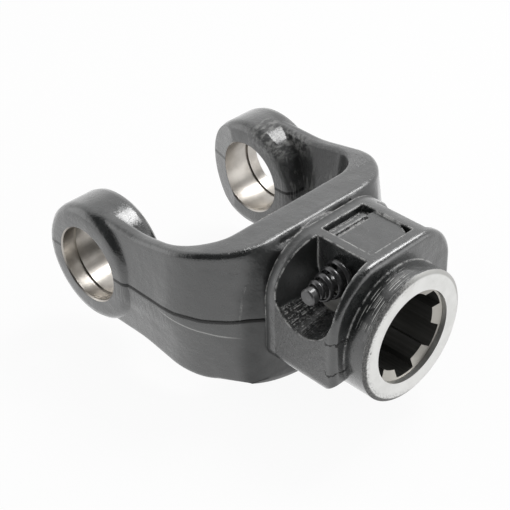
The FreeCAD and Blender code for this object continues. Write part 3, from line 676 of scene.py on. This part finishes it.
class YOKE_OT_forging(bpy.types.Operator):
    """Dress the forging: smooth its skin and give each face its paint or bare steel"""
    bl_idname = "yoke.forging"
    bl_label = "Forging"

    def execute(self, context):
        settings = context.scene.yoke_forging
        bm = bmesh.new()
        bm.from_mesh(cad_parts["yoke_forging"].data)
        bmesh.ops.remove_doubles(bm, verts=bm.verts, dist=SKIN_WELD)
        for side in FAIRING_SIDES:
            add_fairing(bm, settings, Vector(side))
        bm.normal_update()
        shade(bm, settings.smooth_angle)
        for face in bm.faces:
            face.material_index = machined_face(face)
        materials = [
            forged_paint(settings), bored_steel(settings), faced_steel(settings), broached_steel(settings)]
        piece = new_piece("forging_skin", bm, materials, "yoke", "yoke_forging")
        even_normals(piece)
        return {"FINISHED"}


class YOKE_OT_pin(bpy.types.Operator):
    """Turn the lock pin from its profile"""
    bl_idname = "yoke.pin"
    bl_label = "Lock pin"

    def execute(self, context):
        settings = context.scene.yoke_pin
        tip = PIN_LOW.y
        end = PIN_HIGH.y
        body = (PIN_HIGH.x - PIN_LOW.x) / 2
        profile = [
            (0.0, tip),
            (settings.shank - settings.rim, tip),
            (settings.shank, tip + settings.rim),
            (settings.shank, tip + settings.neck_start),
            (settings.neck, tip + settings.neck_start),
            (settings.neck, tip + settings.neck_end),
            (settings.shank, tip + settings.neck_end),
            (settings.shank, tip + settings.shoulder),
            (body, tip + settings.shoulder),
            (body, end - settings.rim),
            (body - settings.rim, end),
            (0.0, end),
        ]
        bm = bmesh.new()
        points = [bm.verts.new((PIN_AXIS.x + out, along, PIN_AXIS.z)) for out, along in profile]
        edges = [bm.edges.new(pair) for pair in zip(points, points[1:])]
        bmesh.ops.spin(
            bm, geom=points + edges, cent=PIN_AXIS, axis=(0, 1, 0), angle=2 * math.pi,
            steps=settings.steps, use_merge=True)
        bmesh.ops.remove_doubles(bm, verts=bm.verts, dist=PIN_WELD)
        bmesh.ops.recalc_face_normals(bm, faces=bm.faces)
        shade(bm, PIN_SMOOTH)
        piece = new_piece("pin_turned", bm, [pin_steel(settings)], "pin", "lock_pin")
        even_normals(piece)
        return {"FINISHED"}


class YOKE_OT_spring(bpy.types.Operator):
    """Wind the conical spring between the pin's neck and the collar's inner wall"""
    bl_idname = "yoke.spring"
    bl_label = "Spring"

    def execute(self, context):
        settings = context.scene.yoke_spring
        start = SPRING_LOW.y + settings.wire * settings.flat
        end = SPRING_HIGH.y - settings.wire * settings.flat
        count = round(settings.turns * settings.steps)
        first = Vector((PIN_AXIS.x + settings.small, start, PIN_AXIS.z))
        bm = bmesh.new()
        wide = Matrix.Translation(first) @ Matrix.Diagonal((1, settings.flat, 1, 1))
        section = bmesh.ops.create_circle(
            bm, cap_ends=False, segments=WIRE_SEGMENTS, radius=settings.wire, matrix=wide)["verts"]
        ring = list({edge for vert in section for edge in vert.link_edges})
        bmesh.ops.spin(
            bm, geom=section + ring, cent=PIN_AXIS, axis=(0, 1, 0), dvec=(0, (end - start) / count, 0),
            angle=-2 * math.pi * settings.turns, steps=count, use_merge=False)
        for vert in bm.verts:
            out = Vector((vert.co.x - PIN_AXIS.x, 0, vert.co.z - PIN_AXIS.z))
            share = min(max((vert.co.y - start) / (end - start), 0), 1)
            vert.co += out.normalized() * share * (settings.large - settings.small)
        bmesh.ops.holes_fill(bm, edges=[edge for edge in bm.edges if edge.is_boundary])
        bmesh.ops.recalc_face_normals(bm, faces=bm.faces)
        shade(bm, WIRE_SMOOTH)
        piece = new_piece("spring_wound", bm, [spring_steel(settings)], "yoke", "pin_spring")
        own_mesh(piece)
        return {"FINISHED"}


class YOKE_OT_stage(bpy.types.Operator):
    """Set the camera at the photograph's angle, with a pale floor and soft lamps"""
    bl_idname = "yoke.stage"
    bl_label = "Stage"

    def execute(self, context):
        settings = context.scene.yoke_stage
        self.make_camera(context, settings)
        self.make_floor(context, settings)
        self.make_world(context, settings)
        for name, place, size, power in LAMPS:
            self.make_lamp(context, name, place, size, power * settings.lamps)
        return {"FINISHED"}

    def camera_side(self, settings):
        """The direction from the object towards the camera."""
        turn, lift = settings.azimuth, settings.elevation
        return Vector((math.sin(turn) * math.cos(lift), -math.cos(turn) * math.cos(lift), math.sin(lift)))

    def make_camera(self, context, settings):
        """The camera at the photograph's angle, distance and roll."""
        turn = settings.azimuth
        back = self.camera_side(settings)
        level = Vector((math.cos(turn), math.sin(turn), 0))
        upright = back.cross(level)
        right = level * math.cos(settings.roll) + upright * math.sin(settings.roll)
        up = upright * math.cos(settings.roll) - level * math.sin(settings.roll)
        place = back * settings.distance + right * settings.aside + up * settings.above
        lens = bpy.data.cameras.new("Camera")
        lens.sensor_width = 36
        lens.lens = settings.focal / PICTURE_SIDE * lens.sensor_width
        lens.clip_start = 0.01
        camera = bpy.data.objects.new("Camera", lens)
        camera.matrix_world = Matrix.Translation(place) @ Matrix((right, up, back)).transposed().to_4x4()
        context.scene.collection.objects.link(camera)
        context.scene.camera = camera

    def make_floor(self, context, settings):
        """A pale floor that is white where it is seen, and clear from below."""
        bm = bmesh.new()
        level = Matrix.Translation((0, 0, CAD_BOX[0][2] - FLOOR_GAP))
        bmesh.ops.create_grid(bm, x_segments=1, y_segments=1, size=FLOOR_REACH, matrix=level)
        mesh = bpy.data.meshes.new("floor")
        bm.to_mesh(mesh)
        bm.free()
        f = Finish("Floor")
        _, seen = f.rays()
        paper = f.raw("ShaderNodeBsdfDiffuse", None, {"Color": solid(settings.floor)})
        glow = f.raw("ShaderNodeEmission", None, {"Color": WHITE, "Strength": 1.0})
        under = f.raw("ShaderNodeNewGeometry").outputs["Backfacing"]
        clear = f.raw("ShaderNodeBsdfTransparent")
        sheet = f.layered(under, f.layered(seen * FLOOR_GLOW, paper, glow), clear)
        f.raw("ShaderNodeOutputMaterial", None, {"Surface": sheet.outputs[0]})
        mesh.materials.append(f.material)
        floor = bpy.data.objects.new("floor", mesh)
        context.scene.collection.objects.link(floor)

    def make_world(self, context, settings):
        """White wherever it is seen, a softer white as light, and a dark side for reflections."""
        world = bpy.data.worlds.new("Room")
        f = Finish("Room", world)
        mirrored, seen = f.rays()
        way = f.raw("ShaderNodeTexCoord").outputs["Generated"]
        aim = {0: way, 1: self.camera_side(settings)}
        towards = f.node("ShaderNodeVectorMath", {"operation": "DOT_PRODUCT"}, aim, output=1)
        dark = towards.rise(*DARK_SIDE_BORDER) * mirrored * settings.dark_side
        room = f.raw("ShaderNodeBackground", None, {"Color": WHITE, "Strength": settings.sky})
        wall = f.raw("ShaderNodeBackground", None, {"Color": WHITE, "Strength": 1.0})
        flag = f.raw("ShaderNodeBackground", None, {"Color": BLACK, "Strength": 1.0})
        sheet = f.layered(dark, f.layered(seen, room, wall), flag)
        f.raw("ShaderNodeOutputWorld", None, {"Surface": sheet.outputs[0]})
        context.scene.world = world

    def make_lamp(self, context, name, place, size, power):
        """A round soft lamp that faces the object."""
        lamp = bpy.data.lights.new(name, "AREA")
        lamp.shape = "DISK"
        lamp.size = size
        lamp.energy = power
        holder = bpy.data.objects.new(name, lamp)
        holder.location = place
        holder.rotation_euler = (place - LAMP_TARGET).to_track_quat("Z", "Y").to_euler()
        context.scene.collection.objects.link(holder)


class YOKE_PT_panel(bpy.types.Panel):
    """The yoke's sizes, colours and operators"""
    bl_idname = "YOKE_PT_panel"
    bl_label = "Forged Yoke"
    bl_space_type = "VIEW_3D"
    bl_region_type = "UI"
    bl_category = "Yoke"

    def draw(self, context):
        for name, operator in OPERATORS:
            box = self.layout.box()
            settings = getattr(context.scene, name)
            for key in settings.bl_rna.properties.keys():
                if key not in ("name", "rna_type"):
                    box.prop(settings, key)
            box.operator(operator.bl_idname)


SETTINGS = (
    ("yoke_forging", ForgingSettings),
    ("yoke_pin", PinSettings),
    ("yoke_spring", SpringSettings),
    ("yoke_stage", StageSettings),
)
OPERATORS = (
    ("yoke_forging", YOKE_OT_forging),
    ("yoke_pin", YOKE_OT_pin),
    ("yoke_spring", YOKE_OT_spring),
    ("yoke_stage", YOKE_OT_stage),
)


def register():
    for name, group in SETTINGS:
        bpy.utils.register_class(group)
        setattr(bpy.types.Scene, name, PointerProperty(type=group))
    for name, operator in OPERATORS:
        bpy.utils.register_class(operator)
    bpy.utils.register_class(YOKE_PT_panel)


def unregister():
    bpy.utils.unregister_class(YOKE_PT_panel)
    for name, operator in reversed(OPERATORS):
        bpy.utils.unregister_class(operator)
    for name, group in reversed(SETTINGS):
        delattr(bpy.types.Scene, name)
        bpy.utils.unregister_class(group)


def main():
    register()
    bpy.context.scene.view_settings.view_transform = "Standard"
    bpy.ops.yoke.forging()
    bpy.ops.yoke.pin()
    bpy.ops.yoke.spring()
    bpy.ops.yoke.stage()


if __name__ == "__main__":
    main()
